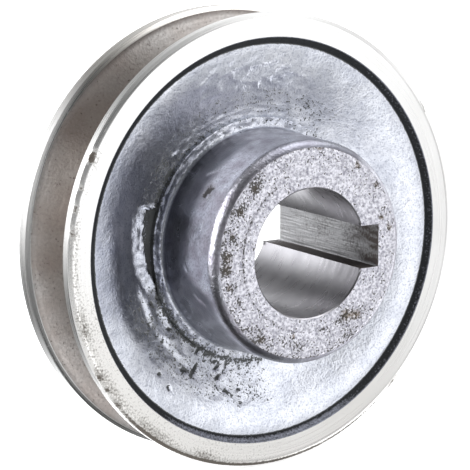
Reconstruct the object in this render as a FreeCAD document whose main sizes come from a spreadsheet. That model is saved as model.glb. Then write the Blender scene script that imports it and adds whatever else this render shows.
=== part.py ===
import FreeCAD, Part
import math
import os
import Sketcher

# Single groove V belt pulley, cast in aluminium in one piece, then turned, bored and broached.
# The axis runs along Y. The hub stands out towards -Y, the keyway faces +X, and the origin is on
# the axis in the middle plane of the belt groove.

doc = FreeCAD.newDocument("v_belt_pulley")

# Driving dimensions, in millimetres and degrees. Depths are measured from the rim's own face.
DIMENSIONS = (
    ("pitch_diameter", 80, "diameter at the belt's neutral line"),
    ("pitch_line_depth", 2.75, "neutral line below the outside of the rim"),
    ("rim_width", 19, "rim, face to face"),
    ("rim_edge_width", 0.9, "edge break on the rim's outside corners, across the face"),
    ("rim_edge_depth", 0.5, "the same edge break, along the axis"),
    ("groove_set_in", 9.2, "middle of the groove behind the front face of the rim"),
    ("groove_top_width", 13, "groove at the outside diameter, for a 13 x 8 belt"),
    ("groove_angle", 34, "included angle of the V"),
    ("groove_depth", 12, "flat bottom of the groove below the outside diameter"),
    ("groove_lip", 0.75, "edge break where the V meets the rim"),
    ("groove_corner", 0.6, "tool nose radius in the bottom of the groove"),
    ("run_out", 1, "how far the V's section runs past the outside of the rim"),
    ("face_inner_diameter", 76.7, "inner edge of the turned rim face"),
    ("web_diameter", 74.2, "web, inside the sloping wall of the recess"),
    ("web_set_in", 0.95, "web at its outer edge, behind the rim face"),
    ("web_foot_set_in", 4.7, "web where it meets the hub's ledge"),
    ("ledge_diameter", 46.2, "low cast step round the foot of the hub"),
    ("ledge_set_in", 3.8, "face of the ledge behind the rim face"),
    ("hub_diameter", 41.6, "hub at its front face"),
    ("hub_draft", 1, "draft of the hub's cast side"),
    ("hub_projection", 13.5, "front face of the hub ahead of the rim face"),
    ("hub_edge_radius", 2.5, "rounded front edge of the hub"),
    ("hub_root_radius", 0.5, "fillet where the hub meets its ledge, and the web behind"),
    ("rear_hub_diameter", 41.6, "rear land of the hub, level with the rim"),
    ("bore_diameter", 24, "bore, for a 24 mm motor shaft"),
    ("bore_edge", 0.25, "edge break at both ends of the bore"),
    ("keyway_width", 8, "keyway, for an 8 x 7 key"),
    ("keyway_height", 27.3, "keyway floor from the far wall of the bore"),
)
dims = doc.addObject("Spreadsheet::Sheet", "dims")
for row, (alias, value, meaning) in enumerate(DIMENSIONS, start=1):
    dims.set(f"A{row}", meaning)
    dims.set(f"B{row}", str(value))
    dims.setAlias(f"B{row}", alias)
doc.recompute()

# Expressions that several features share. Lengths along the axis count from the hub's front face.
OUTER_RADIUS = "(dims.pitch_diameter / 2 + dims.pitch_line_depth)"
RIM_FRONT = "dims.hub_projection"
RIM_BACK = "(dims.hub_projection + dims.rim_width)"
GROOVE_MIDDLE = "(dims.hub_projection + dims.groove_set_in)"
LEDGE_FACE = "(dims.hub_projection + dims.ledge_set_in)"
WEB_FOOT = f"({RIM_FRONT} + dims.web_foot_set_in)"
REAR_WEB_FOOT = f"({RIM_BACK} - dims.web_foot_set_in)"
WEB_DROP = "(dims.web_foot_set_in - dims.web_set_in)"
WEB_SPAN = "((dims.web_diameter - dims.ledge_diameter) / 2)"
WEB_MIDDLE = "((dims.web_set_in + dims.web_foot_set_in) / 2)"
WEB_MIDDLE_RADIUS = "((dims.web_diameter + dims.ledge_diameter) / 4)"
WEB_BEND = f"(({WEB_SPAN}^2 + {WEB_DROP}^2) / 4 / {WEB_DROP})"
DRAFT = "tan(dims.hub_draft * 1 deg)"
HUB_ROOT = f"(dims.hub_diameter / 2 + {LEDGE_FACE} * {DRAFT})"
REAR_HUB_ROOT = f"(dims.rear_hub_diameter / 2 + dims.web_foot_set_in * {DRAFT})"
FLANK = "(dims.groove_angle * 1 deg / 2)"


def size(expression):
    """Value of an expression in the sheet's dimensions."""
    return float(dims.evalExpression(expression))


def sketch_on(body, name, role):
    """New sketch on one of the body's own origin planes."""
    sketch = body.newObject("Sketcher::SketchObject", name)
    plane = next(feature for feature in body.Origin.OriginFeatures if feature.Role == role)
    sketch.AttachmentSupport = (plane, "")
    sketch.MapMode = "FlatFace"
    return sketch


def constrain(sketch, kind, *reference, expression):
    """Dimension one point of the sketch from its origin, bound to the sheet."""
    value = size(expression)
    if abs(value) < 1e-9:
        axis = -2 if kind == "DistanceX" else -1
        sketch.addConstraint(Sketcher.Constraint("PointOnObject", *reference, axis))
        return
    index = sketch.addConstraint(Sketcher.Constraint(kind, -1, 1, *reference, value))
    sketch.setExpression(f"Constraints[{index}]", expression)


def outline(sketch, corners, arcs=()):
    """Closed clockwise outline through corners given as (across, up) expressions.

    arcs names the corners that begin an arc, {corner: (side, radius)}. On side 1 the arc
    swells out of the outline, and on side -1 it hollows it.
    """
    points = [FreeCAD.Vector(size(across), size(up), 0) for across, up in corners]
    ends = []
    for number, start in enumerate(points):
        finish = points[(number + 1) % len(points)]
        if number in arcs:
            side, expression = arcs[number]
            radius = size(expression)
            chord = finish - start
            sagitta = radius - math.sqrt(radius**2 - (chord.Length / 2) ** 2)
            outwards = FreeCAD.Vector(-chord.y, chord.x, 0).normalize()
            middle = (start + finish) / 2 + outwards * sagitta * side
            geometry = sketch.addGeometry(Part.Arc(start, middle, finish))
            index = sketch.addConstraint(Sketcher.Constraint("Radius", geometry, radius))
            sketch.setExpression(f"Constraints[{index}]", expression)
        else:
            geometry = sketch.addGeometry(Part.LineSegment(start, finish))
        forward = sketch.getPoint(geometry, 1).distanceToPoint(start) < 1e-6
        ends.append((geometry, 1, 2) if forward else (geometry, 2, 1))
    for number, (geometry, start, finish) in enumerate(ends):
        following, next_start, _ = ends[(number + 1) % len(ends)]
        sketch.addConstraint(
            Sketcher.Constraint("Coincident", geometry, finish, following, next_start))
        across, up = corners[number]
        constrain(sketch, "DistanceX", geometry, start, expression=across)
        constrain(sketch, "DistanceY", geometry, start, expression=up)


def circles(feature, radius, along):
    """Names of the feature's circular edges of one radius at one place along the axis."""
    found = []
    for number, edge in enumerate(feature.Shape.Edges, start=1):
        curve = edge.Curve
        if curve.TypeId != "Part::GeomCircle":
            continue
        if abs(curve.Radius - size(radius)) < 0.01 and abs(curve.Center.y - size(along)) < 0.01:
            found.append(f"Edge{number}")
    assert found, f"no edge of radius {radius} at {along}"
    return found


def turn(body, kind, name, section):
    """Revolution or groove: a section taken full circle round the axis, its sketch's own X."""
    feature = body.newObject(f"PartDesign::{kind}", name)
    feature.Profile = section
    feature.ReferenceAxis = (section, ["H_Axis"])
    feature.Angle = 360
    doc.recompute()
    return feature


def dress(body, kind, name, base, edges, amount):
    """Fillet or chamfer on named edges of the base feature, its size bound to the sheet."""
    feature = body.newObject(f"PartDesign::{kind}", name)
    feature.Base = (base, edges)
    feature.setExpression("Radius" if kind == "Fillet" else "Size", amount)
    doc.recompute()
    return feature


def pulley_casting():
    body = doc.addObject("PartDesign::Body", "pulley_casting")
    body.Label = "pulley_casting"

    # The casting: half of its section, with the axis as the sketch's own X, turned full circle.
    # Each face of the web is two tangent arcs, level at the hub and at the rim.
    section = sketch_on(body, "casting_section", "YZ_Plane")
    ledge_radius = "dims.ledge_diameter / 2"
    web_radius = "dims.web_diameter / 2"
    face_radius = "dims.face_inner_diameter / 2"
    outline(section, (
        ("0", "0"),
        ("0", "dims.hub_diameter / 2"),
        (LEDGE_FACE, HUB_ROOT),
        (LEDGE_FACE, ledge_radius),
        (WEB_FOOT, ledge_radius),
        (f"{RIM_FRONT} + {WEB_MIDDLE}", WEB_MIDDLE_RADIUS),
        (f"{RIM_FRONT} + dims.web_set_in", web_radius),
        (RIM_FRONT, face_radius),
        (RIM_FRONT, f"{OUTER_RADIUS} - dims.rim_edge_width"),
        (f"{RIM_FRONT} + dims.rim_edge_depth", OUTER_RADIUS),
        (f"{RIM_BACK} - dims.rim_edge_depth", OUTER_RADIUS),
        (RIM_BACK, f"{OUTER_RADIUS} - dims.rim_edge_width"),
        (RIM_BACK, face_radius),
        (f"{RIM_BACK} - dims.web_set_in", web_radius),
        (f"{RIM_BACK} - {WEB_MIDDLE}", WEB_MIDDLE_RADIUS),
        (REAR_WEB_FOOT, ledge_radius),
        (REAR_WEB_FOOT, REAR_HUB_ROOT),
        (RIM_BACK, "dims.rear_hub_diameter / 2"),
        (RIM_BACK, "0"),
    ), arcs={4: (-1, WEB_BEND), 5: (1, WEB_BEND), 13: (1, WEB_BEND), 14: (-1, WEB_BEND)})
    casting = turn(body, "Revolution", "casting", section)
    hub_edge = dress(body, "Fillet", "hub_edge", casting,
                     circles(casting, "dims.hub_diameter / 2", "0"), "dims.hub_edge_radius")
    hub_roots = dress(body, "Fillet", "hub_roots", hub_edge,
                      circles(hub_edge, HUB_ROOT, LEDGE_FACE)
                      + circles(hub_edge, REAR_HUB_ROOT, REAR_WEB_FOOT), "dims.hub_root_radius")

    # The V groove, turned into the rim: broken lips, straight flanks, and rounded bottom corners.
    vee = sketch_on(body, "groove_section", "YZ_Plane")
    lip_half = f"(dims.groove_top_width / 2 - dims.groove_lip * tan({FLANK}))"
    mouth_half = f"({lip_half} + dims.groove_lip + dims.run_out)"
    floor_half = f"(dims.groove_top_width / 2 - dims.groove_depth * tan({FLANK}))"
    floor_radius = f"({OUTER_RADIUS} - dims.groove_depth)"
    tangent = f"(dims.groove_corner * tan((90 deg - {FLANK}) / 2))"
    corner_half = f"({floor_half} + {tangent} * sin({FLANK}))"
    corner_radius = f"({floor_radius} + {tangent} * cos({FLANK}))"
    outline(vee, (
        (f"{GROOVE_MIDDLE} + {mouth_half}", f"{OUTER_RADIUS} + dims.run_out"),
        (f"{GROOVE_MIDDLE} + {lip_half}", f"{OUTER_RADIUS} - dims.groove_lip"),
        (f"{GROOVE_MIDDLE} + {corner_half}", corner_radius),
        (f"{GROOVE_MIDDLE} + {floor_half} - {tangent}", floor_radius),
        (f"{GROOVE_MIDDLE} - {floor_half} + {tangent}", floor_radius),
        (f"{GROOVE_MIDDLE} - {corner_half}", corner_radius),
        (f"{GROOVE_MIDDLE} - {lip_half}", f"{OUTER_RADIUS} - dims.groove_lip"),
        (f"{GROOVE_MIDDLE} - {mouth_half}", f"{OUTER_RADIUS} + dims.run_out"),
    ), arcs={2: (1, "dims.groove_corner"), 4: (1, "dims.groove_corner")})
    groove = turn(body, "Groove", "belt_groove", vee)

    # The bore, right through the hub, then the keyway, broached along it on the +X side.
    bore_circle = sketch_on(body, "bore_circle", "XZ_Plane")
    bore_circle.addGeometry(Part.Circle(FreeCAD.Vector(), FreeCAD.Vector(0, 0, 1),
                                        size("dims.bore_diameter / 2")))
    bore_circle.addConstraint(Sketcher.Constraint("Coincident", 0, 3, -1, 1))
    index = bore_circle.addConstraint(
        Sketcher.Constraint("Radius", 0, size("dims.bore_diameter / 2")))
    bore_circle.setExpression(f"Constraints[{index}]", "dims.bore_diameter / 2")
    bore = body.newObject("PartDesign::Pocket", "bore")
    bore.Profile = bore_circle
    bore.Type = "ThroughAll"
    doc.recompute()
    bore_edges = dress(body, "Chamfer", "bore_edges", bore,
                       circles(bore, "dims.bore_diameter / 2", "0")
                       + circles(bore, "dims.bore_diameter / 2", RIM_BACK), "dims.bore_edge")

    slot = sketch_on(body, "keyway_section", "XZ_Plane")
    key_floor = "dims.keyway_height - dims.bore_diameter / 2"
    outline(slot, (
        ("0", "-dims.keyway_width / 2"),
        (key_floor, "-dims.keyway_width / 2"),
        (key_floor, "dims.keyway_width / 2"),
        ("0", "dims.keyway_width / 2"),
    ))
    keyway = body.newObject("PartDesign::Pocket", "keyway")
    keyway.Profile = slot
    keyway.Type = "ThroughAll"
    doc.recompute()

    # Each cut has to take away what its own section says, or it points away from the metal.
    for before, cut in ((hub_roots, groove), (groove, bore), (bore_edges, keyway)):
        assert cut.Shape.Volume < before.Shape.Volume - 100, f"{cut.Name} cuts nothing"

    body.setExpression("Placement.Base.y", f"-{GROOVE_MIDDLE} * 1 mm")
    return body


pieces = [pulley_casting()]
doc.recompute()

for item in doc.Objects:
    assert not {"Invalid", "Error"} & set(item.State), f"{item.Name}: {item.State}"

os.makedirs("parts", exist_ok=True)
for piece in pieces:
    shape = piece.Shape
    assert not shape.isNull() and shape.isValid() and len(shape.Solids) == 1, piece.Label
    shape.exportStep(f"parts/{piece.Label}.step")
    box = shape.optimalBoundingBox()
    print(f"{piece.Label}: {shape.Volume / 1000:.2f} cm3, X {box.XMin:.2f} to {box.XMax:.2f}, "
          f"Y {box.YMin:.2f} to {box.YMax:.2f}, Z {box.ZMin:.2f} to {box.ZMax:.2f}")
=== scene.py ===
import itertools
import math

import bpy
import numpy as np
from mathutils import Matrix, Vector


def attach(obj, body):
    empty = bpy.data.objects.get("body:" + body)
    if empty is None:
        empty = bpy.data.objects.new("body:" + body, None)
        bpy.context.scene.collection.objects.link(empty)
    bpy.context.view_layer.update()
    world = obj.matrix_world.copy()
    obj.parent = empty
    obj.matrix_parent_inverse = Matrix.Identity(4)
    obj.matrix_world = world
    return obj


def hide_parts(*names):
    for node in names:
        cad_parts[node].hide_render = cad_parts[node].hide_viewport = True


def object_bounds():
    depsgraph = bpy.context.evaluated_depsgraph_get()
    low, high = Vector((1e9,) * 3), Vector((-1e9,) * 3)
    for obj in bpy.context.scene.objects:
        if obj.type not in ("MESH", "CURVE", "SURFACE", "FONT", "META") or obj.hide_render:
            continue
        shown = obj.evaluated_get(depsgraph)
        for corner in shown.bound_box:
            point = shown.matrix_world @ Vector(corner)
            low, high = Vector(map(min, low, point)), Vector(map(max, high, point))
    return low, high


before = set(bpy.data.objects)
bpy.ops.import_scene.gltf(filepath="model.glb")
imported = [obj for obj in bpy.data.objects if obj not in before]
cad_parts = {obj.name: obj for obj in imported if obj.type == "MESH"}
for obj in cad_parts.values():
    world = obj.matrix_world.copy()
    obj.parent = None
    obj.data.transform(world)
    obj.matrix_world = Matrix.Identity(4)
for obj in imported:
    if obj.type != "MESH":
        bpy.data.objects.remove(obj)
cad_low, cad_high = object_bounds()


# ---- The casting's section ----
# The pulley is one aluminium die casting: rim, dished web and hub in a single piece. Its section
# is walked once round here, from the front edge of the bore outwards and back through the bore.
# Each ring keeps its radius and its place along the axis in millimetres, and its surface's name.
MM = 0.001
OUTER_RADIUS = cad_high.x / MM
HUB_FACE = cad_low.y / MM
REAR_FACE = cad_high.y / MM
RIM_WIDTH = 19.0
RIM_FACE = REAR_FACE - RIM_WIDTH
HUB_RADIUS = 20.8
HUB_EDGE = 2.5
HUB_ROOT_FILLET = 0.5
DRAFT = math.tan(math.radians(1))
LEDGE_RADIUS = 23.1
LEDGE_CORNER = 0.2
LEDGE_FACE = RIM_FACE + 3.8
WEB_RADIUS = 37.1
WEB_SET_IN = 0.95
WEB_FOOT_SET_IN = 4.7
FACE_INNER_RADIUS = 38.35
RIM_EDGE_WIDTH = 0.9
RIM_EDGE_DEPTH = 0.5
BORE_RADIUS = 12.0
BORE_EDGE = 0.25
GROOVE_MIDDLE = RIM_FACE + 9.2
GROOVE_ANGLE = math.radians(17)
GROOVE_TOP = 13.0
GROOVE_DEPTH = 12.0
GROOVE_LIP = 0.75
GROOVE_CORNER = 0.6
rings = []


def straight(surface, start, finish, step):
    """Rings from start up to finish, both (radius, along), about step apart."""
    count = max(1, round(math.dist(start, finish) / step))
    for share in np.arange(count) / count:
        radius, along = np.array(start) + share * (np.array(finish) - start)
        rings.append((radius, along, surface))


def rounded(surface, centre, radius, first, last, step):
    """Rings round a corner: angles in degrees, 0 pointing outwards and 90 to the back."""
    count = max(2, round(radius * abs(math.radians(last - first)) / step))
    for angle in np.radians(first + (last - first) * np.arange(count) / count):
        rings.append((centre[0] + radius * math.cos(angle), centre[1] + radius * math.sin(angle), surface))


def web_run(face, sign, outwards, step):
    """Rings across the web: flat at the hub and at the rim, with a slope of S shape between."""
    count = round((WEB_RADIUS - LEDGE_RADIUS) / step)
    for share in np.arange(count) / count:
        share = share if outwards else 1 - share
        set_in = WEB_FOOT_SET_IN + (WEB_SET_IN - WEB_FOOT_SET_IN) * share * share * (3 - 2 * share)
        rings.append((LEDGE_RADIUS + (WEB_RADIUS - LEDGE_RADIUS) * share, face + sign * set_in, "web"))


# The hub's front, with a rounded edge. The faced end runs a little way into the rounding.
FACED_UNTIL = -62
hub_root = HUB_RADIUS + (LEDGE_FACE - HUB_FACE) * DRAFT
edge_centre = (HUB_RADIUS - HUB_EDGE, HUB_FACE + HUB_EDGE)
root_centre = (hub_root + HUB_ROOT_FILLET, LEDGE_FACE - HUB_ROOT_FILLET)
straight("hub_end", (BORE_RADIUS + BORE_EDGE, HUB_FACE), (HUB_RADIUS - HUB_EDGE, HUB_FACE), step=0.34)
rounded("hub_end", edge_centre, HUB_EDGE, -90, FACED_UNTIL, step=0.3)
rounded("hub_side", edge_centre, HUB_EDGE, FACED_UNTIL, 0, step=0.27)
straight("hub_side", (HUB_RADIUS, HUB_FACE + HUB_EDGE), (hub_root, LEDGE_FACE - HUB_ROOT_FILLET), step=0.45)

# The ledge round the hub's foot, the web, and the sloping wall of the recess.
rounded("web", root_centre, HUB_ROOT_FILLET, 180, 90, step=0.25)
straight("web", (root_centre[0], LEDGE_FACE), (LEDGE_RADIUS - LEDGE_CORNER, LEDGE_FACE), step=0.25)
rounded("web", (LEDGE_RADIUS - LEDGE_CORNER, LEDGE_FACE + LEDGE_CORNER), LEDGE_CORNER, -90, 0, step=0.15)
straight("web", (LEDGE_RADIUS, LEDGE_FACE + LEDGE_CORNER), (LEDGE_RADIUS, RIM_FACE + WEB_FOOT_SET_IN),
         step=0.25)
web_run(RIM_FACE, 1, outwards=True, step=0.29)
straight("recess", (WEB_RADIUS, RIM_FACE + WEB_SET_IN), (FACE_INNER_RADIUS, RIM_FACE), step=0.3)

# The rim's front face and land, the V groove, and the rim's rear land and face.
edge_radius = OUTER_RADIUS - RIM_EDGE_WIDTH
lip_half = GROOVE_TOP / 2 - GROOVE_LIP * math.tan(GROOVE_ANGLE)
front_lip = (OUTER_RADIUS, GROOVE_MIDDLE - lip_half - GROOVE_LIP)
rear_lip = (OUTER_RADIUS, GROOVE_MIDDLE + lip_half + GROOVE_LIP)
front_mouth = (OUTER_RADIUS - GROOVE_LIP, GROOVE_MIDDLE - lip_half)
rear_mouth = (OUTER_RADIUS - GROOVE_LIP, GROOVE_MIDDLE + lip_half)
straight("rim", (FACE_INNER_RADIUS, RIM_FACE), (edge_radius, RIM_FACE), step=0.45)
straight("rim", (edge_radius, RIM_FACE), (OUTER_RADIUS, RIM_FACE + RIM_EDGE_DEPTH), step=0.26)
straight("rim", (OUTER_RADIUS, RIM_FACE + RIM_EDGE_DEPTH), front_lip, step=0.4)
straight("rim", front_lip, front_mouth, step=0.35)

floor_radius = OUTER_RADIUS - GROOVE_DEPTH
floor_half = GROOVE_TOP / 2 - GROOVE_DEPTH * math.tan(GROOVE_ANGLE)
tangent_run = GROOVE_CORNER * math.tan((math.pi / 2 - GROOVE_ANGLE) / 2)
corner_half = floor_half + tangent_run * math.sin(GROOVE_ANGLE)
corner_radius = floor_radius + tangent_run * math.cos(GROOVE_ANGLE)
nose_half = floor_half - tangent_run
nose_radius = floor_radius + GROOVE_CORNER
slant = math.degrees(GROOVE_ANGLE)
straight("groove", front_mouth, (corner_radius, GROOVE_MIDDLE - corner_half), step=1.1)
rounded("groove", (nose_radius, GROOVE_MIDDLE - nose_half), GROOVE_CORNER, 270 - slant, 180, step=0.3)
straight("groove", (floor_radius, GROOVE_MIDDLE - nose_half), (floor_radius, GROOVE_MIDDLE + nose_half),
         step=0.9)
rounded("groove", (nose_radius, GROOVE_MIDDLE + nose_half), GROOVE_CORNER, 180, 90 + slant, step=0.3)
straight("groove", (corner_radius, GROOVE_MIDDLE + corner_half), rear_mouth, step=1.1)
straight("rim", rear_mouth, rear_lip, step=0.35)
straight("rim", rear_lip, (OUTER_RADIUS, REAR_FACE - RIM_EDGE_DEPTH), step=0.5)
straight("rim", (OUTER_RADIUS, REAR_FACE - RIM_EDGE_DEPTH), (edge_radius, REAR_FACE), step=0.35)
straight("rim", (edge_radius, REAR_FACE), (FACE_INNER_RADIUS, REAR_FACE), step=0.7)

# The rear is the same dish, with the hub's end level with the rim. Then back through the bore, whose
# rings are closer where the keyway's floor is torn.
TORN_LENGTH = 6
rear_root = HUB_RADIUS + WEB_FOOT_SET_IN * DRAFT
rear_foot = REAR_FACE - WEB_FOOT_SET_IN
fillet_centre = (rear_root + HUB_ROOT_FILLET, rear_foot + HUB_ROOT_FILLET)
straight("recess", (FACE_INNER_RADIUS, REAR_FACE), (WEB_RADIUS, REAR_FACE - WEB_SET_IN), step=0.5)
web_run(REAR_FACE, -1, outwards=False, step=0.6)
straight("web", (LEDGE_RADIUS, rear_foot), (rear_root + HUB_ROOT_FILLET, rear_foot), step=0.6)
rounded("web", fillet_centre, HUB_ROOT_FILLET, -90, -180, step=0.3)
straight("hub_side", (rear_root, rear_foot + HUB_ROOT_FILLET), (HUB_RADIUS, REAR_FACE), step=0.6)
straight("hub_end", (HUB_RADIUS, REAR_FACE), (BORE_RADIUS + BORE_EDGE, REAR_FACE), step=0.55)
straight("bore", (BORE_RADIUS + BORE_EDGE, REAR_FACE), (BORE_RADIUS, REAR_FACE - BORE_EDGE), step=0.2)
straight("bore", (BORE_RADIUS, REAR_FACE - BORE_EDGE), (BORE_RADIUS, HUB_FACE + TORN_LENGTH), step=1.2)
straight("bore", (BORE_RADIUS, HUB_FACE + TORN_LENGTH), (BORE_RADIUS, HUB_FACE + BORE_EDGE), step=0.45)
straight("bore", (BORE_RADIUS, HUB_FACE + BORE_EDGE), (BORE_RADIUS + BORE_EDGE, HUB_FACE), step=0.2)

# The skin is one closed grid: the rings run round the axis, and the columns stand at the angles
# below, clockwise from the keyway as seen from the front. They are closest on the far side from
# the keyway, where the casting's flaws are, and they fall exactly on the keyway's corners.
KEYWAY_HALF = 4.0
KEYWAY_FLOOR = 15.3
FLAWED_FROM = 90
FLAWED_TO = 292
floor_corner = math.degrees(math.atan2(KEYWAY_HALF, KEYWAY_FLOOR))
wall_corner = math.degrees(math.asin(KEYWAY_HALF / BORE_RADIUS))
stretches = (
    (-floor_corner, floor_corner, 12),
    (floor_corner, wall_corner, 5),
    (wall_corner, FLAWED_FROM, 40),
    (FLAWED_FROM, FLAWED_TO, 252),
    (FLAWED_TO, 360 - wall_corner, 30),
    (360 - wall_corner, 360 - floor_corner, 5))
columns = np.concatenate([np.linspace(start, end, count, endpoint=False) for start, end, count in stretches])
columns = np.mod(columns, 360)
signed = np.where(columns > 180, columns - 360, columns)
surface = np.array([name for _, _, name in rings])
ring_radius = np.array([radius for radius, _, _ in rings])
ring_along = np.array([along for _, along, _ in rings])

# Way out of the metal at each ring, from the two runs that meet there.
tangent = np.stack([np.roll(ring_radius, -1) - np.roll(ring_radius, 1),
                    np.roll(ring_along, -1) - np.roll(ring_along, 1)], axis=1)
tangent /= np.linalg.norm(tangent, axis=1)[:, None]
out_radial, out_along = tangent[:, 1], -tangent[:, 0]

angle = np.broadcast_to(columns, (len(rings), len(columns)))
turn = np.radians(angle)
radius = np.broadcast_to(ring_radius[:, None], angle.shape).copy()
along = np.broadcast_to(ring_along[:, None], angle.shape).copy()
front = along < GROOVE_MIDDLE


# ---- The web ----
# The web and the ledge round the hub's foot are as cast: a dull, bluish, slightly rippled skin.
# On the side away from the keyway the metal folded as it ran in, which left a raised crease with a
# hollow behind it, darkened with painted shade, and below it cold shuts that gape as short black
# gashes.
def grain(points, cell, seed):
    """Smooth noise from -1 to 1 on a lattice of cell millimetres, the same at every run."""
    lattice = points / np.array(cell)
    corner = np.floor(lattice).astype(np.int64)
    part = lattice - corner
    part = part * part * (3 - 2 * part)
    total = np.zeros(points.shape[:-1])
    for step in itertools.product((0, 1), repeat=3):
        x, y, z = np.moveaxis(corner + step, -1, 0)
        mixed = (x * 73856093 ^ y * 19349663 ^ z * 83492791 ^ seed * 40503) & 0xFFFFFFFF
        mixed = ((mixed ^ mixed >> 15) * 668265263) & 0xFFFFFFFF
        mixed = ((mixed ^ mixed >> 13) * 374761393) & 0xFFFFFFFF
        weight = np.where(step, part, 1 - part).prod(axis=-1)
        total += weight * (((mixed ^ mixed >> 16) & 0xFFFF) / 32767.5 - 1)
    return total


def hump(value, centre, width):
    """1 at the centre, falling off smoothly over about the width."""
    return np.exp(-((value - centre) / width) ** 2)


def between(value, low, high, soft):
    """1 from low to high, falling to 0 over soft outside them."""
    inside = np.minimum(value - low, high - value) / soft + 1
    inside = np.clip(inside, 0, 1)
    return inside * inside * (3 - 2 * inside)


def part_of(name):
    """The points of the skin that lie on one named surface."""
    return (surface == name)[:, None] & np.ones(angle.shape, bool)


def round_from(at, on_radius):
    """Millimetres round the axis from the angle at, the short way, on a radius."""
    return np.radians(np.mod(angle - at + 180, 360) - 180) * on_radius


# Three things are drawn on the skin's points: relief, in millimetres out of the metal, and how
# soiled and how stained it is, from 0 to 1; both shares also carry painted shade in places. where
# is a point's place, and flowing is its place measured along the way the metal ran round the hub.
FLOW_RADIUS = 28
where = np.stack([radius * np.cos(turn), along, -radius * np.sin(turn)], axis=-1)
flowing = np.stack([radius, along, turn * FLOW_RADIUS], axis=-1)
relief = np.zeros(angle.shape)
soil_and_shade = np.zeros(angle.shape)
stain_and_shade = np.zeros(angle.shape)

web = part_of("web")
front_web = web & front
relief += web * (0.06 * grain(where, 4.0, seed=1) + 0.035 * grain(where, 1.3, seed=2))

# Crest of the crease: (angle, radius). It hooks inwards at its upper end, where a thin one begins.
CREASE = ((150, 23.3), (161, 23.6), (168, 24.0), (173, 24.7), (178, 25.0), (183, 25.3), (187, 25.9),
          (191, 26.1), (195, 26.2), (197.5, 25.8), (199, 24.4), (200, 23.4))
THIN_CREASE = ((200, 27.4), (204, 27.2), (209, 26.9), (213, 26.9), (219, 26.4), (224, 25.1), (232, 24.2))
CREASE_WIDTH = 2.2
CREASE_LIP = 0.45
VALLEY_DEPTH = 0.25
wander = 0.16 * grain(np.stack([angle * 0.42, angle * 0, angle * 0], axis=-1), 1.0, seed=3)
beyond = radius - np.interp(angle, *zip(*CREASE)) - wander
outer_slope = np.clip(1 - beyond / (CREASE_WIDTH + wander), 0, 1)
ridge = np.where(beyond > 0, outer_slope, hump(beyond, 0, CREASE_LIP)) * between(angle, 165, 198.5, 4)
lumps = 0.5 + 0.5 * grain(where, 1.0, seed=14)
relief += front_web * (0.68 + 0.6 * lumps) * ridge
valley = between(radius, LEDGE_RADIUS + 0.1, radius - beyond - 0.4, 0.4) * between(angle, 164, 199, 5)
relief -= front_web * VALLEY_DEPTH * valley
# Painted shade darkens the valley behind the crease.
soil_and_shade += front_web * 0.34 * valley

THIN_HEIGHT = 0.20
THIN_WIDTH = 0.32
HOLLOW_DEPTH = 0.22
beyond = radius - np.interp(angle, *zip(*THIN_CREASE)) - 1.3 * wander
relief += front_web * THIN_HEIGHT * between(angle, 203, 224, 5) * hump(beyond, 0, THIN_WIDTH)
hollow = between(radius, LEDGE_RADIUS + 0.2, radius - beyond, 0.8) * between(angle, 198, 216, 8)
relief -= front_web * HOLLOW_DEPTH * hollow
# Painted shade darkens the hollow behind the thin crease.
soil_and_shade += front_web * 0.17 * hollow

# Outside the crease the web stays level further in, then drops more steeply towards the hub.
SHELF_RADIUS = 32.3
SHELF_WIDTH = 2.9
shelf_height = (0.16 + 0.42 * between(angle, 150, 182, 12)) * between(angle, 140, 215, 20)
relief += front_web * shelf_height * hump(radius, SHELF_RADIUS, SHELF_WIDTH)

# Folds where the metal ran round the hub: short ridges that follow it, above and to the left.
fold_band = between(radius, 24.2, 28.0, 1.0) * between(angle, 222, 300, 16)
folds = np.abs(grain(flowing, (0.6, 1.0, 2.2), seed=4)) - 0.35
relief -= front_web * 0.15 * fold_band * folds
soil_and_shade += front_web * 0.14 * fold_band
flow_band = between(radius, 29.3, 34.0, 1.2) * between(angle, 247, 284, 8)
flow_lines = np.clip(1 - np.abs(grain(flowing, (1.7, 1.0, 2.6), seed=5)) * 3.2, 0, 1)
relief += front_web * flow_band * (0.17 * flow_lines + 0.05 * grain(where, 1.0, seed=16))

# Gashes, each given by its angle, radius, half length, half width and slant from the radial.
GASHES = ((121.5, 27.5, 1.3, 0.22, 12), (123, 23.8, 0.8, 0.2, 8), (126, 28.4, 0.8, 0.25, 70),
          (110.7, 25.4, 0.6, 0.2, 40), (109.5, 27.0, 0.7, 0.18, 40), (105.8, 29.2, 0.35, 0.2, 70),
          (135.5, 32.3, 0.4, 0.28, 20), (129.8, 33.1, 0.5, 0.26, 130), (99.4, 28.7, 0.3, 0.16, 80),
          (142.5, 24.7, 0.4, 0.22, 60), (157.4, 25.5, 0.4, 0.25, 60), (157.9, 23.7, 0.35, 0.22, 90))
GASH_DEPTH = 0.4
for at, out, half_long, half_wide, degrees in GASHES:
    side = round_from(at, radius)
    ahead = radius - out
    lean = math.radians(degrees)
    length = (ahead * math.cos(lean) + side * math.sin(lean)) / half_long
    width = (side * math.cos(lean) - ahead * math.sin(lean)) / half_wide
    gash = np.exp(-(length ** 4 + width ** 2))
    relief -= front_web * GASH_DEPTH * gash
    soil_and_shade += front_web * 0.95 * gash

# Pits among the gashes, and metal heaped up between them and the ledge.
PIT_DEPTH = 0.4
pitted = between(angle, 92, 160, 14) * between(radius, 23.5, 30.5, 2.5)
pits = np.clip(grain(where, 0.75, seed=6) - 0.5, 0, 1) * pitted
relief -= front_web * (PIT_DEPTH * pits + 0.12 * pitted * grain(where, 1.6, seed=15))
soil_and_shade += front_web * (0.8 * pits + 0.18 * pitted)
heaped = between(angle, 128, 163, 7) * between(radius, 23.9, 26.3, 1.3)
relief += front_web * heaped * (0.45 + 0.4 * grain(where, 2.4, seed=17))
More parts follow.
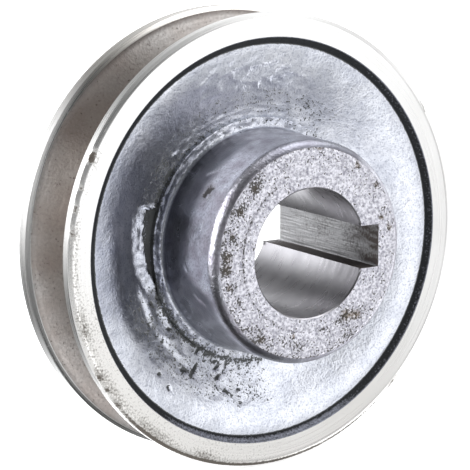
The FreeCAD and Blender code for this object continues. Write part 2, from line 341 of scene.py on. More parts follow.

# The ledge's outer edge is ragged and a little soiled, and painted shade darkens the corner outside it.
ledge = front_web & (radius < LEDGE_RADIUS + 0.02) & (radius > hub_root + 0.4)
relief += ledge * (0.12 * grain(where, 0.6, seed=7) - 0.06)
soil_and_shade += ledge * 0.12
foot = hump(radius, LEDGE_RADIUS + 0.35, 0.4) * between(angle, 95, 240, 20)
soil_and_shade += front_web * 0.22 * foot

# Painted shade darkens the web to a bluish grey on the side away from the keyway, more over its
# outer band there, a little at the top, and most on the ledge there. All of the web is a little
# mottled, and above the hub fine dark specks lie close together.
painted_web_shade = 0.30 * between(angle, 166, 206, 16) + 0.12 * between(angle, 250, 300, 30)
painted_outer_shade = between(radius, 32.5, WEB_RADIUS, 2.0) * between(angle, 172, 212, 18)
mottled = 0.16 * grain(where, 2.2, seed=21) + 0.12 * grain(where, 0.8, seed=22) - 0.08
specked = between(angle, 280, 345, 20) * between(radius, 22.5, 31, 4)
stain_and_shade += front_web * (painted_web_shade + 0.26 * painted_outer_shade + mottled + 0.16 * specked)
stain_and_shade += ledge * 0.45 * between(angle, 120, 225, 20)
soil_and_shade += front_web * (0.015 + 0.06 * specked * (0.6 + 0.6 * grain(where, 3.0, seed=23)))


def colour(hex_value):
    """Linear colour from an sRGB hex value."""
    channels = [int(hex_value[i:i + 2], 16) / 255 for i in (1, 3, 5)]
    return [c / 12.92 if c <= 0.04045 else ((c + 0.055) / 1.055) ** 2.4 for c in channels] + [1]


def add(tree, kind, inputs=(), out=0, **settings):
    """Adds one node and gives its output: settings are its own properties, inputs its sockets."""
    made = tree.nodes.new(kind)
    for name, value in settings.items():
        setattr(made, name, value)
    for socket, value in dict(inputs).items():
        if isinstance(value, bpy.types.NodeSocket):
            tree.links.new(value, made.inputs[socket])
        else:
            made.inputs[socket].default_value = value
    return made.outputs[out] if made.outputs else None


def new_finish(name):
    """A new material: its empty node tree and the place on the pulley, in metres."""
    material = bpy.data.materials.new(name)
    material.use_nodes = True
    material.node_tree.nodes.clear()
    place = add(material.node_tree, "ShaderNodeTexCoord", out="Object")
    return material, material.node_tree, place


def bare_metal(tree, tone, roughness, darkening, height, depth):
    """Aluminium with darkening on it, dirt in places and painted shade in others, which is no metal and
    dull; height is a bump depth metres deep.
    """
    bump = add(tree, "ShaderNodeBump", {"Height": height, "Distance": depth})
    clean = add(tree, "ShaderNodeMath", {0: 1.0, 1: darkening}, operation="SUBTRACT")
    dull = add(tree, "ShaderNodeMix", {0: darkening, 2: roughness, 3: DARKENING_ROUGHNESS})
    shader = add(tree, "ShaderNodeBsdfPrincipled", {
        "Base Color": tone, "Metallic": clean, "Roughness": dull, "Normal": bump})
    add(tree, "ShaderNodeOutputMaterial", {0: shader})


# Sockets by what they are: a map range's limits, and a mix's two colours. COLOURS sets a mix to
# colours, whose result is its third output. A pattern's scale comes from the size of its cells in
# millimetres, and the place on the pulley is in metres.
FROM_LOW, FROM_HIGH, TO_LOW, TO_HIGH = 1, 2, 3, 4
A, B = 6, 7
COLOURS = {"data_type": "RGBA", "out": 2}
PER_MM = 1000
DARKENING_ROUGHNESS = 0.75
finishes = {}


def cast_skin():
    """Die cast aluminium as it left the mould: blue-grey, grainy, pricked with fine dark pores."""
    material, tree, place = new_finish("cast_aluminium_skin")
    cloud = add(tree, "ShaderNodeTexNoise", {"Vector": place, "Scale": PER_MM / 5, "Detail": 4})
    peel = add(tree, "ShaderNodeTexNoise", {"Vector": place, "Scale": PER_MM / 0.9, "Detail": 3})
    speckle = add(tree, "ShaderNodeTexNoise", {"Vector": place, "Scale": PER_MM / 0.36, "Detail": 2})
    patch = add(tree, "ShaderNodeMapRange", {0: cloud, FROM_LOW: 0.35, FROM_HIGH: 0.65})
    tone = add(tree, "ShaderNodeMix", {0: patch, A: colour("#ced1d8"), B: colour("#dddfe4")}, **COLOURS)
    stain_and_shade_at = add(tree, "ShaderNodeAttribute", out="Fac", attribute_name="stain_and_shade")
    # The stain share darkens the tone to bluish grey: painted shade on the side away from the keyway, and
    # random mottling.
    tone = add(tree, "ShaderNodeMix", {0: stain_and_shade_at, A: tone, B: colour("#6a7085")}, **COLOURS)
    fleck = add(tree, "ShaderNodeMapRange", {
        0: speckle, FROM_LOW: 0.28, FROM_HIGH: 0.50, TO_LOW: 0.6, TO_HIGH: 0})
    tone = add(tree, "ShaderNodeMix", {0: fleck, A: tone, B: colour("#868a9a")}, **COLOURS)
    soil_and_shade_at = add(tree, "ShaderNodeAttribute", out="Fac", attribute_name="soil_and_shade")
    grime_and_shade = add(tree, "ShaderNodeMath", {0: peel, 1: 0.5, 2: soil_and_shade_at}, operation="MULTIPLY_ADD")
    grime_and_shade = add(tree, "ShaderNodeMath", {0: speckle, 1: 0.9, 2: grime_and_shade}, operation="MULTIPLY_ADD")
    darkening = add(tree, "ShaderNodeMapRange", {0: grime_and_shade, FROM_LOW: 0.94, FROM_HIGH: 1.04, TO_HIGH: 0.9})
    # The soil share turns the skin dark: dirt in pores, gashes and pits, and painted shade in the valley,
    # the hollow and the corner at the ledge's foot.
    tone = add(tree, "ShaderNodeMix", {0: darkening, A: tone, B: colour("#22241f")}, **COLOURS)
    rough = add(tree, "ShaderNodeMapRange", {
        0: peel, FROM_LOW: 0.3, FROM_HIGH: 0.7, TO_LOW: 0.40, TO_HIGH: 0.28})
    rise = add(tree, "ShaderNodeMath", {0: peel, 1: 1.2, 2: speckle}, operation="MULTIPLY_ADD")
    bare_metal(tree, tone, rough, darkening, rise, 0.06 / PER_MM)
    return material


finishes["web"] = cast_skin()


# ---- The hub ----
# The hub's side is as cast and smoother than the web; its end was faced, which opened the pores of
# the casting. A small draw mark is left in the side, and the corner between them is rounded.
hub_side = part_of("hub_side")
hub_end = part_of("hub_end")
front_side = hub_side & front
front_end = hub_end & front
smoothing = np.clip((along - HUB_FACE - 1) / 2, 0.15, 1)
drawn = 0.035 * grain(where, 3.5, seed=8) + 0.012 * grain(where, 1.2, seed=9) - 0.047
relief += hub_side * smoothing * drawn

BLEMISH_ANGLE = 214.5
BLEMISH_ALONG = RIM_FACE - 5.8
BLEMISH_WIDTH = 1.8
BLEMISH_LENGTH = 1.4
off_centre = (round_from(BLEMISH_ANGLE, radius) / BLEMISH_WIDTH) ** 2
off_centre += ((along - BLEMISH_ALONG) / BLEMISH_LENGTH) ** 2
blemish = np.exp(-off_centre ** 1.5)
ragged = grain(where, 0.8, seed=10)
relief -= front_side * blemish * (0.25 + 0.3 * ragged)
soil_and_shade += front_side * blemish * np.clip(0.75 + 0.9 * ragged, 0, 1)

# Scratches: angle and place ahead of the rim's face at each end.
SCRATCHES = ((223.5, 2.4, 231.5, 6.6), (228.5, 4.6, 231, 5.4), (184.3, 9.4, 186, 10.2),
             (157.5, 6.2, 160.5, 5.2), (172.5, 4.2, 174.5, 3.9), (156, 7.4, 158.5, 6.4),
             (198, 8.2, 201, 9.4), (191, 6.2, 191.8, 7.8))
SCRATCH_WIDTH = 0.3
SCRATCH_DEPTH = 0.12
scratched = np.zeros(angle.shape)
for from_angle, from_ahead, to_angle, to_ahead in SCRATCHES:
    run = np.array([math.radians(to_angle - from_angle) * HUB_RADIUS, from_ahead - to_ahead])
    here = np.stack([round_from(from_angle, HUB_RADIUS), along - RIM_FACE + from_ahead], axis=-1)
    share = np.clip(here @ run / (run @ run), 0, 1)
    scratched += hump(np.linalg.norm(here - share[..., None] * run, axis=-1), 0, SCRATCH_WIDTH)
relief -= front_side * SCRATCH_DEPTH * scratched

# Painted shade darkens the side near the web, most on the side away from the keyway, with a thinner
# band of it above and one round the faced end's edge, heavier below, which dims the highlight there.
# It is left off along the scratches, and painted shade also darkens the corner at the hub's root.
painted_shade_height = 6.5 + 6 * between(angle, 122, 158, 14)
painted_foot_shade = between(along, LEDGE_FACE - painted_shade_height, LEDGE_FACE, 3.5) * between(angle, 118, 246, 22)
painted_top_shade = 0.5 * between(angle, 250, 300, 16)
painted_edge_shade = (0.22 + 0.5 * between(angle, 50, 125, 18)) * (along < HUB_FACE + HUB_EDGE)
stain_and_shade += front_side * (np.maximum(0.78 * painted_foot_shade, painted_top_shade) + painted_edge_shade - 0.7 * scratched)
soil_and_shade += front_side * 0.30 * hump(along, LEDGE_FACE, 1.2) * between(angle, 95, 290, 30)

# The faced end: open pores, a witness line left by the tool, and dirt and rust near its edge.
PORE_DEPTH = 0.12
WITNESS_RADIUS = 14.67
WITNESS_DEPTH = 0.18
relief -= hub_end * PORE_DEPTH * np.clip(grain(where, 1.1, seed=11) - 0.35, 0, 1)
witness = hump(radius, WITNESS_RADIUS, 0.22) * between(angle, 60, 230, 20)
relief -= front_end * WITNESS_DEPTH * witness
outer_band = between(radius, 17.0, 19.5, 0.8) * (0.15 + 0.55 * between(angle, 130, 225, 20))
lower_band = 0.4 * between(radius, 17.0, 20.8, 1.2) * between(angle, 62, 112, 14)
soil_and_shade += front_end * (0.95 * witness + np.maximum(outer_band, lower_band))
# Rust: angle, radius and size of each patch.
PATCHES = ((227, 17.8, 1.1), (211, 17.7, 1.0), (196, 17.6, 0.8), (184, 18.1, 1.3), (176, 18.2, 1.1),
           (166, 18.2, 0.8), (126, 18.2, 1.0), (57, 14.7, 1.6), (50, 16.4, 1.2), (104, 15.4, 0.6),
           (276, 19.4, 0.7), (304, 18.6, 0.9), (350, 17.9, 1.0), (342, 16.6, 0.8), (322, 18.6, 0.7))
for at, out, size in PATCHES:
    stain_and_shade += front_end * hump(round_from(at, radius), 0, size) * hump(radius, out, size)


def hub_side_skin():
    """The hub's cast side: the mould was smoother here, so it is glossier, with cloudy flow marks."""
    material, tree, place = new_finish("smooth_cast_aluminium")
    cloud = add(tree, "ShaderNodeTexNoise", {"Vector": place, "Scale": PER_MM / 3, "Detail": 5})
    speckle = add(tree, "ShaderNodeTexNoise", {"Vector": place, "Scale": PER_MM / 0.4, "Detail": 2})
    patch = add(tree, "ShaderNodeMapRange", {0: cloud, FROM_LOW: 0.36, FROM_HIGH: 0.64})
    tone = add(tree, "ShaderNodeMix", {0: patch, A: colour("#bfbac4"), B: colour("#e8e9f1")}, **COLOURS)
    stain_and_shade_at = add(tree, "ShaderNodeAttribute", out="Fac", attribute_name="stain_and_shade")
    # The stain share is painted shade: darker near the web, above, and round the faced end's edge.
    tone = add(tree, "ShaderNodeMix", {0: stain_and_shade_at, A: tone, B: colour("#4b4f59")}, **COLOURS)
    fleck = add(tree, "ShaderNodeMapRange", {
        0: speckle, FROM_LOW: 0.28, FROM_HIGH: 0.55, TO_LOW: 0.5, TO_HIGH: 0})
    tone = add(tree, "ShaderNodeMix", {0: fleck, A: tone, B: colour("#7d7a84")}, **COLOURS)
    soil_and_shade_at = add(tree, "ShaderNodeAttribute", out="Fac", attribute_name="soil_and_shade")
    grime_and_shade = add(tree, "ShaderNodeMath", {0: speckle, 1: 0.8, 2: soil_and_shade_at}, operation="MULTIPLY_ADD")
    darkening = add(tree, "ShaderNodeMapRange", {0: grime_and_shade, FROM_LOW: 0.65, FROM_HIGH: 0.9, TO_HIGH: 0.92})
    # The soil share is the draw mark's dirt and painted shade in the corner at the hub's root.
    tone = add(tree, "ShaderNodeMix", {0: darkening, A: tone, B: colour("#24201c")}, **COLOURS)
    rough = add(tree, "ShaderNodeMapRange", {
        0: cloud, FROM_LOW: 0.3, FROM_HIGH: 0.7, TO_LOW: 0.36, TO_HIGH: 0.26})
    rise = add(tree, "ShaderNodeMath", {0: cloud, 1: 3.5, 2: speckle}, operation="MULTIPLY_ADD")
    bare_metal(tree, tone, rough, darkening, rise, 0.06 / PER_MM)
    return material


def hub_end_metal():
    """The faced end: open pores full of old cutting dirt, with ochre rust stains where it stood."""
    material, tree, place = new_finish("faced_porous_aluminium")
    cloud = add(tree, "ShaderNodeTexNoise", {"Vector": place, "Scale": PER_MM / 2.2, "Detail": 4})
    speckle = add(tree, "ShaderNodeTexNoise", {"Vector": place, "Scale": PER_MM / 0.42, "Detail": 3})
    crumb = add(tree, "ShaderNodeTexNoise", {"Vector": place, "Scale": PER_MM / 0.55, "Detail": 4})
    mottle = add(tree, "ShaderNodeMapRange", {0: crumb, FROM_LOW: 0.30, FROM_HIGH: 0.60})
    tone = add(tree, "ShaderNodeMix", {0: mottle, A: colour("#9a99a3"), B: colour("#e9e8ee")}, **COLOURS)
    stain_and_shade_at = add(tree, "ShaderNodeAttribute", out="Fac", attribute_name="stain_and_shade")
    rust = add(tree, "ShaderNodeMath", {0: stain_and_shade_at, 1: speckle}, operation="MULTIPLY")
    rust = add(tree, "ShaderNodeMapRange", {0: rust, FROM_LOW: 0.22, FROM_HIGH: 0.5, TO_HIGH: 0.8})
    tone = add(tree, "ShaderNodeMix", {0: rust, A: tone, B: colour("#7d6a48")}, **COLOURS)
    soil_and_shade_at = add(tree, "ShaderNodeAttribute", out="Fac", attribute_name="soil_and_shade")
    pore = add(tree, "ShaderNodeMath", {0: cloud, 1: 0.45, 2: speckle}, operation="MULTIPLY_ADD")
    pore = add(tree, "ShaderNodeMath", {0: crumb, 1: 0.45, 2: pore}, operation="MULTIPLY_ADD")
    pore = add(tree, "ShaderNodeMath", {0: stain_and_shade_at, 1: 0.16, 2: pore}, operation="MULTIPLY_ADD")
    pore = add(tree, "ShaderNodeMath", {0: soil_and_shade_at, 1: 0.14, 2: pore}, operation="MULTIPLY_ADD")
    darkening = add(tree, "ShaderNodeMapRange", {0: pore, FROM_LOW: 1.06, FROM_HIGH: 1.14, TO_HIGH: 0.92})
    tone = add(tree, "ShaderNodeMix", {0: darkening, A: tone, B: colour("#2f2b26")}, **COLOURS)
    rough = add(tree, "ShaderNodeMapRange", {
        0: crumb, FROM_LOW: 0.3, FROM_HIGH: 0.7, TO_LOW: 0.62, TO_HIGH: 0.36})
    rise = add(tree, "ShaderNodeMath", {0: darkening, 1: -0.6, 2: crumb}, operation="MULTIPLY_ADD")
    bare_metal(tree, tone, rough, darkening, rise, 0.16 / PER_MM)
    return material


finishes["hub_side"] = hub_side_skin()
finishes["hub_end"] = hub_end_metal()


# ---- The rim and the wall of the recess ----
# The rim's faces and lands were turned, so they are flat and bright. Its front corner has been
# knocked: dark nicks and rubbed dirt lie along it on the side away from the keyway. The recess's
# sloping wall was left as cast, and is black with old grime and painted shade, with painted light
# along two stretches of it.
rim = part_of("rim")
recess = part_of("recess")
outer_corner = hump(radius, OUTER_RADIUS - 0.35, 0.5) * hump(along, RIM_FACE + 0.1, 0.6)
# Nicks: angle, half length, and depth as a share of the deepest.
NICKS = ((207, 0.9, 1.0), (199, 0.5, 0.35), (194, 0.7, 0.4), (188, 0.6, 0.3), (150, 0.8, 0.35),
         (146, 0.5, 0.4), (141, 0.9, 0.3))
NICK_DEPTH = 0.45
for at, half_long, depth in NICKS:
    nick = depth * hump(round_from(at, radius), 0, half_long) * outer_corner
    relief -= rim * NICK_DEPTH * nick
    soil_and_shade += rim * 1.3 * nick
# Smudges along the face's outer edge: angle, half length and strength.
SMUDGES = ((47, 2.6, 0.42), (54, 1.4, 0.3), (327, 1.8, 0.38), (80, 9.0, 0.14), (104, 8.0, 0.18),
           (126, 6.0, 0.14))
outer_edge = hump(radius, OUTER_RADIUS - 0.4, 0.5) * (along < RIM_FACE + 0.7)
for at, half_long, strength in SMUDGES:
    smudge = hump(round_from(at, radius), 0, half_long) * outer_edge
    soil_and_shade += rim * strength * smudge * (1 + 0.5 * grain(where, 1.5, seed=24))

# Dirt on the turned metal: rubbed along the face's outer edge, a thin smudge over the face low on
# one side, a dark line on the front corner below, and a nick in the groove's front lip. Painted
# shade darkens the rear corner above. The stain is a faint darker tone on the face, and painted
# shade over the rear land at the top.
on_face = np.abs(along - RIM_FACE) < 0.4
at_corner = radius > OUTER_RADIUS - 0.5
rubbed = hump(radius, OUTER_RADIUS - 1.3, 1.0) * on_face * between(angle, 112, 205, 14)
smudged = between(radius, FACE_INNER_RADIUS, OUTER_RADIUS, 0.5) * on_face * between(angle, 92, 165, 16)
rear_edge = hump(along, REAR_FACE - 0.6, 0.5) * between(angle, 225, 320, 20) * at_corner
lower_edge = between(angle, 62, 132, 12) * at_corner * (along < RIM_FACE + 1.2)
groove_nick = hump(round_from(146, radius), 0, 1.8) * hump(along, GROOVE_MIDDLE - lip_half - 0.5, 0.3)
soil_and_shade += rim * 0.17 * rubbed * (1 + 0.6 * grain(where, 3.0, seed=12))
soil_and_shade += rim * (0.12 * smudged + 0.06 + 0.05 * grain(where, 6.0, seed=18))
soil_and_shade += rim * (0.32 * rear_edge + 0.4 * lower_edge + 1.2 * groove_nick * (radius > OUTER_RADIUS - 1))
stain_and_shade += rim * 0.45 * between(angle, 60, 150, 40) * on_face
stain_and_shade += rim * between(angle, 235, 320, 20) * (along > GROOVE_MIDDLE)

# The recess's wall is black with grime and painted shade all over, with painted light along its middle on
# two stretches, low down and on the keyway's side.
across_wall = hump(radius, (WEB_RADIUS + FACE_INNER_RADIUS) / 2 + 0.12, 0.5)
painted_light_stretches = 0.62 * between(angle, 68, 118, 16) + 0.22 * between(signed, -50, 48, 16)
soil_and_shade += recess * (0.85 - across_wall * painted_light_stretches)


def lathe_place(tree, place, round_mm, over_mm):
    """Place on a turned surface in cells round_mm long round the axis and over_mm across it."""
    radial = add(tree, "ShaderNodeVectorMath", {0: place, 1: (1, 0, 1)}, operation="MULTIPLY")
    axial = add(tree, "ShaderNodeVectorMath", {0: place, 1: (0, 1, 0)}, out="Value", operation="DOT_PRODUCT")
    distance = add(tree, "ShaderNodeVectorMath", {0: radial}, out="Value", operation="LENGTH")
    heading = add(tree, "ShaderNodeVectorMath", {0: radial}, operation="NORMALIZE")
    across = add(tree, "ShaderNodeMath", {0: distance, 1: axial}, operation="ADD")
    across = add(tree, "ShaderNodeMath", {0: across, 1: PER_MM / over_mm}, operation="MULTIPLY")
    across = add(tree, "ShaderNodeCombineXYZ", {1: across})
    cells_round = OUTER_RADIUS / round_mm
    return add(tree, "ShaderNodeVectorMath", {0: heading, 1: (cells_round,) * 3, 2: across},
               operation="MULTIPLY_ADD")


def turned_metal():
    """Turned aluminium: bright and nearly white, with faint rings from the tool and rubbed dirt.

    The tool's rings are really about 0.1 mm apart; they are drawn at 0.3 mm so that they show.
    """
    material, tree, place = new_finish("turned_aluminium")
    cloud = add(tree, "ShaderNodeTexNoise", {"Vector": place, "Scale": PER_MM / 7, "Detail": 4})
    tool = add(tree, "ShaderNodeTexNoise", {
        "Vector": lathe_place(tree, place, 22, 0.3), "Scale": 1, "Detail": 1})
    tone = add(tree, "ShaderNodeMix", {0: cloud, A: colour("#f5f4f1"), B: colour("#e9e8e4")}, **COLOURS)
    stain_and_shade_at = add(tree, "ShaderNodeAttribute", out="Fac", attribute_name="stain_and_shade")
    # The stain share is a faint darker tone on the face, and painted shade on the rear land at the top.
    tone = add(tree, "ShaderNodeMix", {0: stain_and_shade_at, A: tone, B: colour("#d3cfc8")}, **COLOURS)
    soil_and_shade_at = add(tree, "ShaderNodeAttribute", out="Fac", attribute_name="soil_and_shade")
    speckle = add(tree, "ShaderNodeTexNoise", {"Vector": place, "Scale": PER_MM / 0.4, "Detail": 3})
    grime_and_shade = add(tree, "ShaderNodeMath", {0: speckle, 1: 0.9, 2: soil_and_shade_at}, operation="MULTIPLY_ADD")
    darkening = add(tree, "ShaderNodeMapRange", {0: grime_and_shade, FROM_LOW: 0.66, FROM_HIGH: 1.0})
    tone = add(tree, "ShaderNodeMix", {0: darkening, A: tone, B: colour("#57514a")}, **COLOURS)
    rough = add(tree, "ShaderNodeMapRange", {
        0: tool, FROM_LOW: 0.3, FROM_HIGH: 0.7, TO_LOW: 0.24, TO_HIGH: 0.36})
    bare_metal(tree, tone, rough, darkening, tool, 0.012 / PER_MM)
    return material


def recess_skin():
    """The sloping wall of the recess: black with old grime and painted shade, speckled with painted light on
    two stretches.
    """
    material, tree, place = new_finish("grime_and_shade_recess_wall")
    speckle = add(tree, "ShaderNodeTexNoise", {"Vector": place, "Scale": PER_MM / 0.35, "Detail": 3})
    soil_and_shade_at = add(tree, "ShaderNodeAttribute", out="Fac", attribute_name="soil_and_shade")
    grime_and_shade = add(tree, "ShaderNodeMath", {0: speckle, 1: 1.1, 2: soil_and_shade_at}, operation="MULTIPLY_ADD")
    darkening = add(tree, "ShaderNodeMapRange", {0: grime_and_shade, FROM_LOW: 0.55, FROM_HIGH: 1.15})
    # Black is old grime and painted shade; the light colour where it is thin is painted light.
    tone = add(tree, "ShaderNodeMix", {0: darkening, A: colour("#a9acb8"), B: colour("#0e1114")}, **COLOURS)
    bare_metal(tree, tone, 0.5, darkening, speckle, 0.1 / PER_MM)
    return material


finishes["rim"] = turned_metal()
finishes["recess"] = recess_skin()


# ---- The belt groove ----
# The V for the belt was turned into the rim. The belt then wore it, which left its flanks duller
# than the lands beside it, with a brown cast. Painted shade darkens them over two stretches on the
# side away from the keyway.
def groove_metal():
    """Belt-worn aluminium: taupe grey, fine grained, browner in clouds."""
    material, tree, place = new_finish("belt_worn_aluminium")
    cloud = add(tree, "ShaderNodeTexNoise", {"Vector": place, "Scale": PER_MM / 9, "Detail": 5})
    grainy = add(tree, "ShaderNodeTexNoise", {"Vector": place, "Scale": PER_MM / 0.5, "Detail": 3})
    streak = add(tree, "ShaderNodeTexNoise", {
        "Vector": lathe_place(tree, place, 7, 0.6), "Scale": 1, "Detail": 2})
    patch = add(tree, "ShaderNodeMapRange", {0: cloud, FROM_LOW: 0.35, FROM_HIGH: 0.68})
    tone = add(tree, "ShaderNodeMix", {0: patch, A: colour("#dedcd9"), B: colour("#c3b6ae")}, **COLOURS)
    tone = add(tree, "ShaderNodeMix", {0: grainy, A: tone, B: colour("#9d9792")}, **COLOURS)
    stain_and_shade_at = add(tree, "ShaderNodeAttribute", out="Fac", attribute_name="stain_and_shade")
    # The stain share here is painted shade, darkening the flanks on two stretches.
    tone = add(tree, "ShaderNodeMix", {0: stain_and_shade_at, A: tone, B: colour("#7a726d")}, **COLOURS)
    fleck = add(tree, "ShaderNodeMapRange", {0: grainy, FROM_LOW: 0.66, FROM_HIGH: 0.74})
    soil_and_shade_at = add(tree, "ShaderNodeAttribute", out="Fac", attribute_name="soil_and_shade")
    darkening = add(tree, "ShaderNodeMath", {0: fleck, 1: soil_and_shade_at}, operation="MAXIMUM")
    tone = add(tree, "ShaderNodeMix", {0: darkening, A: tone, B: colour("#4d4540")}, **COLOURS)
    rough = add(tree, "ShaderNodeMapRange", {
        0: streak, FROM_LOW: 0.3, FROM_HIGH: 0.7, TO_LOW: 0.34, TO_HIGH: 0.48})
    bare_metal(tree, tone, rough, darkening, grainy, 0.07 / PER_MM)
    return material


finishes["groove"] = groove_metal()
# Painted shade on the flanks: darker over two stretches on the side away from the keyway.
painted_flank_shade = 0.4 * between(angle, 218, 236, 14) + 0.22 * between(angle, 180, 212, 14)
stain_and_shade += part_of("groove") * painted_flank_shade * (1 + 0.3 * grain(where, 5.0, seed=20))


# ---- The bore and its keyway ----
# The bore was drilled and reamed, then the keyway was broached along it. The broach tore the
# keyway's floor where it came in, at the hub's end.
HAIR = 1e-6     # so that a column on a corner counts as inside it
key_column = np.abs(signed) <= wall_corner + HAIR
to_floor = KEYWAY_FLOOR / np.cos(np.radians(signed))
to_wall = KEYWAY_HALF / np.maximum(np.abs(np.sin(np.radians(signed))), HAIR)
key_radius = np.where(np.abs(signed) <= floor_corner + HAIR, to_floor, to_wall)
key_radius = np.where(key_column, key_radius, BORE_RADIUS)

# The hub's end is drawn back from the bore to the keyway's outline. Inside the radius below, its
# rings change from circles to that outline.
BLEND_RADIUS = 17.6
opening = np.broadcast_to(np.where(key_column, key_radius, BORE_RADIUS + BORE_EDGE), angle.shape)
blend = (BLEND_RADIUS - radius) / (BLEND_RADIUS - BORE_RADIUS - BORE_EDGE)
near_bore = hub_end & (radius < BLEND_RADIUS)
radius[near_bore] = (BLEND_RADIUS - blend * (BLEND_RADIUS - opening))[near_bore]
in_keyway = part_of("bore") & key_column[None, :]
radius[in_keyway] = np.broadcast_to(key_radius, angle.shape)[in_keyway]

TEAR_DEPTH = 0.22
on_floor = in_keyway & (np.abs(signed) < floor_corner - 0.5)[None, :]
on_wall = in_keyway & (np.abs(signed) > floor_corner + 0.01)[None, :]
torn = np.clip((HUB_FACE + 11 - along) / 10, 0, 1) ** 1.4
tear = grain(np.stack([along, radius, signed * 0.27 + along * 0], axis=-1), (3.0, 9.0, 0.6), seed=13)
relief += on_floor * TEAR_DEPTH * torn * (tear - 0.4)
soil_and_shade += on_floor * (torn * np.clip(0.9 * tear + 0.55, 0, 1) + 0.12 + 0.1 * grain(where, 2.5, seed=19))
soil_and_shade += on_wall * np.clip((REAR_FACE + 4 - along) / 12, 0, 1)


def bored_metal():
    """Reamed aluminium: smooth and grey, with soft streaks round it left by the reamer."""
    material, tree, place = new_finish("reamed_aluminium")
    streak = add(tree, "ShaderNodeTexNoise", {
        "Vector": lathe_place(tree, place, 16, 0.9), "Scale": 1, "Detail": 1})
    cloud = add(tree, "ShaderNodeTexNoise", {"Vector": place, "Scale": PER_MM / 3, "Detail": 3})
    tone = add(tree, "ShaderNodeMix", {0: cloud, A: colour("#98969a"), B: colour("#bcbbbd")}, **COLOURS)
    rough = add(tree, "ShaderNodeMapRange", {
        0: streak, FROM_LOW: 0.3, FROM_HIGH: 0.7, TO_LOW: 0.26, TO_HIGH: 0.36})
    bare_metal(tree, tone, rough, 0.0, streak, 0.008 / PER_MM)
    return material


def broached_metal():
    """Broached aluminium: streaked along the cut, and torn brown where the broach came in."""
    material, tree, place = new_finish("broached_aluminium")
    lines = add(tree, "ShaderNodeVectorMath", {0: place, 1: (PER_MM / 3, PER_MM / 7, PER_MM / 0.35)},
                operation="MULTIPLY")
    streak = add(tree, "ShaderNodeTexNoise", {"Vector": lines, "Scale": 1, "Detail": 3})
    tone = add(tree, "ShaderNodeMix", {0: streak, A: colour("#8f8f90"), B: colour("#d0d0d1")}, **COLOURS)
    soil_and_shade_at = add(tree, "ShaderNodeAttribute", out="Fac", attribute_name="soil_and_shade")
    crumb = add(tree, "ShaderNodeTexNoise", {"Vector": place, "Scale": PER_MM / 0.5, "Detail": 3})
    torn_at = add(tree, "ShaderNodeMath", {0: crumb, 1: 0.9, 2: soil_and_shade_at}, operation="MULTIPLY_ADD")
    darkening = add(tree, "ShaderNodeMapRange", {0: torn_at, FROM_LOW: 0.55, FROM_HIGH: 1.05, TO_HIGH: 0.9})
    tone = add(tree, "ShaderNodeMix", {0: darkening, A: tone, B: colour("#40342e")}, **COLOURS)
    rough = add(tree, "ShaderNodeMapRange", {
        0: streak, FROM_LOW: 0.3, FROM_HIGH: 0.7, TO_LOW: 0.3, TO_HIGH: 0.42})
    bare_metal(tree, tone, rough, darkening, streak, 0.05 / PER_MM)
    return material


finishes["bore"] = bored_metal()
finishes["keyway"] = broached_metal()


# ---- The finished pulley ----
# One closed mesh of the rings and columns, pushed out of the metal by the relief and kept inside the
# pulley's size. Each surface gets its own finish, and real corners stay sharp.
SHARP_ANGLE = math.radians(32)
shown_radius = np.clip(radius + relief * out_radial[:, None], 0, OUTER_RADIUS)
shown_along = np.clip(along + relief * out_along[:, None], HUB_FACE, REAR_FACE)
vertices = np.stack([shown_radius * np.cos(turn), shown_along, -shown_radius * np.sin(turn)], axis=-1) * MM
row, column = np.meshgrid(np.arange(len(rings)), np.arange(len(columns)), indexing="ij")
next_row = (row + 1) % len(rings)
next_column = (column + 1) % len(columns)
index = np.arange(row.size).reshape(row.shape)
faces = np.stack([index, index[next_row, column], index[next_row, next_column], index[row, next_column]],
                 axis=-1)
mesh = bpy.data.meshes.new("pulley")
mesh.from_pydata(vertices.reshape(-1, 3).tolist(), [], faces.reshape(-1, 4).tolist())
mesh.validate()
pulley = bpy.data.objects.new("pulley", mesh)
bpy.context.scene.collection.objects.link(pulley)
for name, values in (("soil_and_shade", soil_and_shade), ("stain_and_shade", stain_and_shade)):
    mesh.attributes.new(name, "FLOAT", "POINT").data.foreach_set("value", np.clip(values, 0, 1).ravel())
mesh.shade_smooth()
mesh.set_sharp_from_angle(angle=SHARP_ANGLE)

names = list(finishes)
for material in finishes.values():
    mesh.materials.append(material)
slots = np.array([names.index(name) for name in surface])
face_slot = np.broadcast_to(slots[:, None], row.shape).copy()
face_slot[in_keyway & in_keyway[row, next_column]] = names.index("keyway")
mesh.polygons.foreach_set("material_index", face_slot.ravel().astype(np.int32))
mesh.update()

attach(pulley, "root")
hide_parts("pulley_casting")


# ---- The studio ----
# A plain pale floor that the pulley's rim stands on, and a tent of soft lamps of one size all
# round. The floor isn't mirrored in the metal, and it lets the light of the low lamps through.
FLOOR_HALF = 4.0
FLOOR_GAP = 0.00005
floor_z = cad_low.z - FLOOR_GAP
corners = [(-FLOOR_HALF, -FLOOR_HALF, floor_z), (FLOOR_HALF, -FLOOR_HALF, floor_z),
           (FLOOR_HALF, FLOOR_HALF, floor_z), (-FLOOR_HALF, FLOOR_HALF, floor_z)]
floor_mesh = bpy.data.meshes.new("floor")
floor_mesh.from_pydata(corners, [], [(0, 1, 2, 3)])
floor = bpy.data.objects.new("floor", floor_mesh)
bpy.context.scene.collection.objects.link(floor)
material, tree, place = new_finish("pale_floor")
shader = add(tree, "ShaderNodeBsdfPrincipled", {
    "Base Color": colour("#f4f4f2"), "Roughness": 0.8,
    "Emission Color": colour("#ffffff"), "Emission Strength": 0.6})
add(tree, "ShaderNodeOutputMaterial", {0: shader})
floor_mesh.materials.append(material)
floor.visible_glossy = False
floor.visible_shadow = False

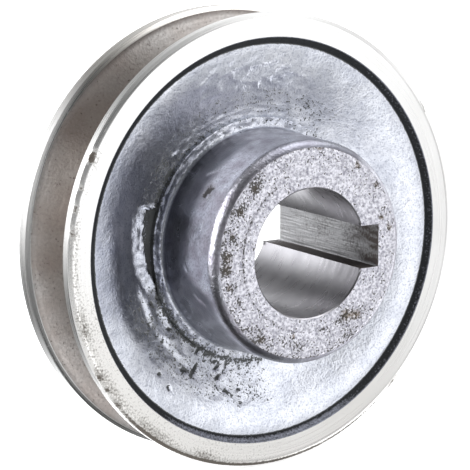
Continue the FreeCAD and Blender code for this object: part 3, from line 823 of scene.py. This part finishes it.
# Each lamp is a direction (azimuth from the front, positive on the keyway's side, then elevation)
# and a brightness. GATHERED is how closely its light keeps to that direction.
LAMPS = (
    (8, -12, 1.9),      # from the front, for the web and the faces
    (36, 16, 2.3),      # from the front, higher, on the keyway's side
    (-12, -38, 1.4),    # from low in front
    (84, -38, 3.4),     # from low on the keyway's side
    (156, -38, 2.9),    # from behind, low
    (156, 14, 1.4),     # from behind, level
    (-132, 14, 2.5),    # from behind on the far side, along the rim
    (98, 10, 1.8),      # from the keyway's side, level, along the edge of the hub
    (-42, 4, 0.25),     # the little that comes from the camera's side
    (-106, 18, 9.0),    # from the far side, which draws the hub's edge
    (90, 65, 6.0))      # from above
GATHERED = 14
BASE_LIGHT = 0.01
world = bpy.data.worlds.new("studio")
world.use_nodes = True
tree = world.node_tree
tree.nodes.clear()
way = add(tree, "ShaderNodeTexCoord", out="Generated")
total = BASE_LIGHT
for azimuth, elevation, brightness in LAMPS:
    aside, rise = math.radians(azimuth), math.radians(elevation)
    axis = (math.sin(aside) * math.cos(rise), -math.cos(aside) * math.cos(rise), math.sin(rise))
    facing = add(tree, "ShaderNodeVectorMath", {0: way, 1: axis}, out="Value", operation="DOT_PRODUCT")
    fall = add(tree, "ShaderNodeMath", {0: facing, 1: GATHERED, 2: -GATHERED}, operation="MULTIPLY_ADD")
    glow = add(tree, "ShaderNodeMath", {0: fall}, operation="EXPONENT")
    total = add(tree, "ShaderNodeMath", {0: glow, 1: brightness, 2: total}, operation="MULTIPLY_ADD")
background = add(tree, "ShaderNodeBackground", {"Color": colour("#fbfcff"), "Strength": total})
add(tree, "ShaderNodeOutputWorld", {"Surface": background})
bpy.context.scene.world = world

# Camera: a long lens, looking at the rim's front face from the left and a little above.
CAMERA_AZIMUTH = math.radians(-33.1)
CAMERA_RISE = math.radians(10.64)
CAMERA_DISTANCE = 0.4719
LENS = 194
SENSOR_WIDTH = 36
AIM_LEFT = 0.00637
AIM_UP = 0.00132
back = Vector((math.sin(CAMERA_AZIMUTH) * math.cos(CAMERA_RISE),
               -math.cos(CAMERA_AZIMUTH) * math.cos(CAMERA_RISE), math.sin(CAMERA_RISE)))
right = Vector((math.cos(CAMERA_AZIMUTH), math.sin(CAMERA_AZIMUTH), 0))
up = back.cross(right)
target = Vector((0, RIM_FACE * MM, 0)) - AIM_LEFT * right + AIM_UP * up
camera = bpy.data.objects.new("camera", bpy.data.cameras.new("camera"))
camera.data.lens = LENS
camera.data.sensor_width = SENSOR_WIDTH
camera.location = target + back * CAMERA_DISTANCE
camera.rotation_euler = back.to_track_quat("Z", "Y").to_euler()
bpy.context.scene.collection.objects.link(camera)
bpy.context.scene.camera = camera
bpy.context.scene.view_settings.view_transform = "Standard"
